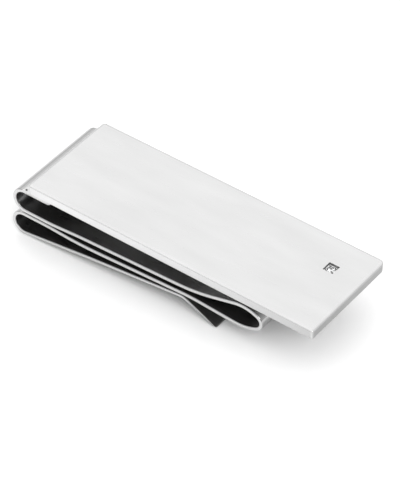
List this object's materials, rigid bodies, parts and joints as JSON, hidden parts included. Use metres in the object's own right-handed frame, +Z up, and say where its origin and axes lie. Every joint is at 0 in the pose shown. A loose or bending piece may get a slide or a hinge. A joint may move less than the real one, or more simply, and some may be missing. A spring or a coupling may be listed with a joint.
{
  "type": "money clip",
  "caption": "Sprung money clip: a thick brushed steel plate with a small set stone, over a polished spring ribbon folded to grip cards and notes.",
  "frame": {"origin": "under the middle of the object, level with the lowest point of the lower bend, with the plate's face level", "axes": "+X along the plate from the bends to the free end, +Y across it towards the edge nearer the stone, +Z up out of the plate's face"},
  "size_m": [0.0578, 0.019, 0.0112],
  "materials": {
    "brushed_plate": "fine satin brushing along the plate, softened bright edges",
    "polished_ribbon": "mirror polished stainless spring strip",
    "bright_setting": "bright cut setting with a round bead at each corner",
    "clear_stone": "clear faceted round stone",
    "braze": "dull silver braze film"
  },
  "bodies": {
    "front": {"front_plate": "brushed_plate", "stone_setting": "bright_setting", "stone": "clear_stone", "braze_joint": "braze", "ribbon_foot": "polished_ribbon", "upper_bend": "polished_ribbon"},
    "upper_arm": {"upper_leaf": "polished_ribbon", "loop_crest": "polished_ribbon", "loop_nose": "polished_ribbon"},
    "return_arm": {"loop_belly": "polished_ribbon", "return_leaf": "polished_ribbon", "lower_bend": "polished_ribbon"},
    "lower_arm": {"lower_leaf": "polished_ribbon", "release_tab": "polished_ribbon"}
  },
  "joints": [
    {"name": "upper_flex", "type": "hinge", "parent": "front", "child": "upper_arm", "pos_m": [-0.02617, 0, 0.00709], "axis": [0, 1, 0], "range_deg": [-0.6, 6], "stiffness_Nm_per_rad": 4, "deforming": ["upper_bend"]},
    {"name": "loop_flex", "type": "hinge", "parent": "upper_arm", "child": "return_arm", "pos_m": [0.018, 0, 0.00678], "axis": [0, -1, 0], "range_deg": [0, 4], "stiffness_Nm_per_rad": 4, "springref_deg": -1.72, "deforming": ["loop_nose"]},
    {"name": "lower_flex", "type": "hinge", "parent": "return_arm", "child": "lower_arm", "pos_m": [-0.0266, 0, 0.00228], "axis": [0, 1, 0], "range_deg": [0, 8], "stiffness_Nm_per_rad": 4, "springref_deg": -1.72, "deforming": ["lower_bend"]}
  ]
}
